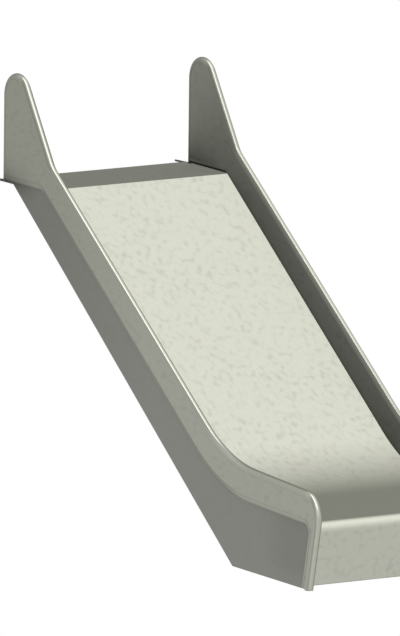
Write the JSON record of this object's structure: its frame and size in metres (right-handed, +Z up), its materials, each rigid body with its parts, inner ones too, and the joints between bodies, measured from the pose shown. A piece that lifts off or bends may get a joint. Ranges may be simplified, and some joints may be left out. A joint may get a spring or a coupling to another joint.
{
  "type": "embankment slide",
  "caption": "Wide sheet-steel slide for an embankment: a bent bed between hollow rounded cheeks with tall entry ears, side plates down to the ground and an apron under the outlet.",
  "frame": {"origin": "middle of the front foot channel's underside, at ground level under the run-out", "axes": "+X across the slide to the right seen from the outlet, +Y back towards the entry, +Z up; the outlet faces -Y"},
  "size_m": [1.08, 3.2016, 2.103],
  "materials": {
    "bed_steel": "smooth slightly mottled stainless sheet",
    "edging_steel": "polished rolled edging",
    "skin_steel": "smooth slightly mottled stainless sheet",
    "stringer_steel": "smooth darker steel plate",
    "frame_steel": "satin steel bar"
  },
  "bodies": {
    "root": {"slide_bed": "bed_steel", "upper_edging_left": "edging_steel", "upper_edging_right": "edging_steel", "lower_edging_left": "edging_steel", "lower_edging_right": "edging_steel", "outer_skin_left": "skin_steel", "outer_skin_right": "skin_steel", "inner_skin_left": "skin_steel", "inner_skin_right": "skin_steel", "stringer_left": "stringer_steel", "stringer_right": "stringer_steel", "stringer_lip_left": "frame_steel", "stringer_lip_right": "frame_steel", "entry_rib": "frame_steel", "slope_rib_1": "frame_steel", "slope_rib_2": "frame_steel", "slope_rib_3": "frame_steel", "slope_rib_4": "frame_steel", "runout_rib_1": "frame_steel", "runout_rib_2": "frame_steel", "front_foot_channel": "frame_steel", "back_foot_channel": "frame_steel", "leg_foot_left": "edging_steel", "leg_foot_right": "edging_steel"}
  },
  "joints": []
}
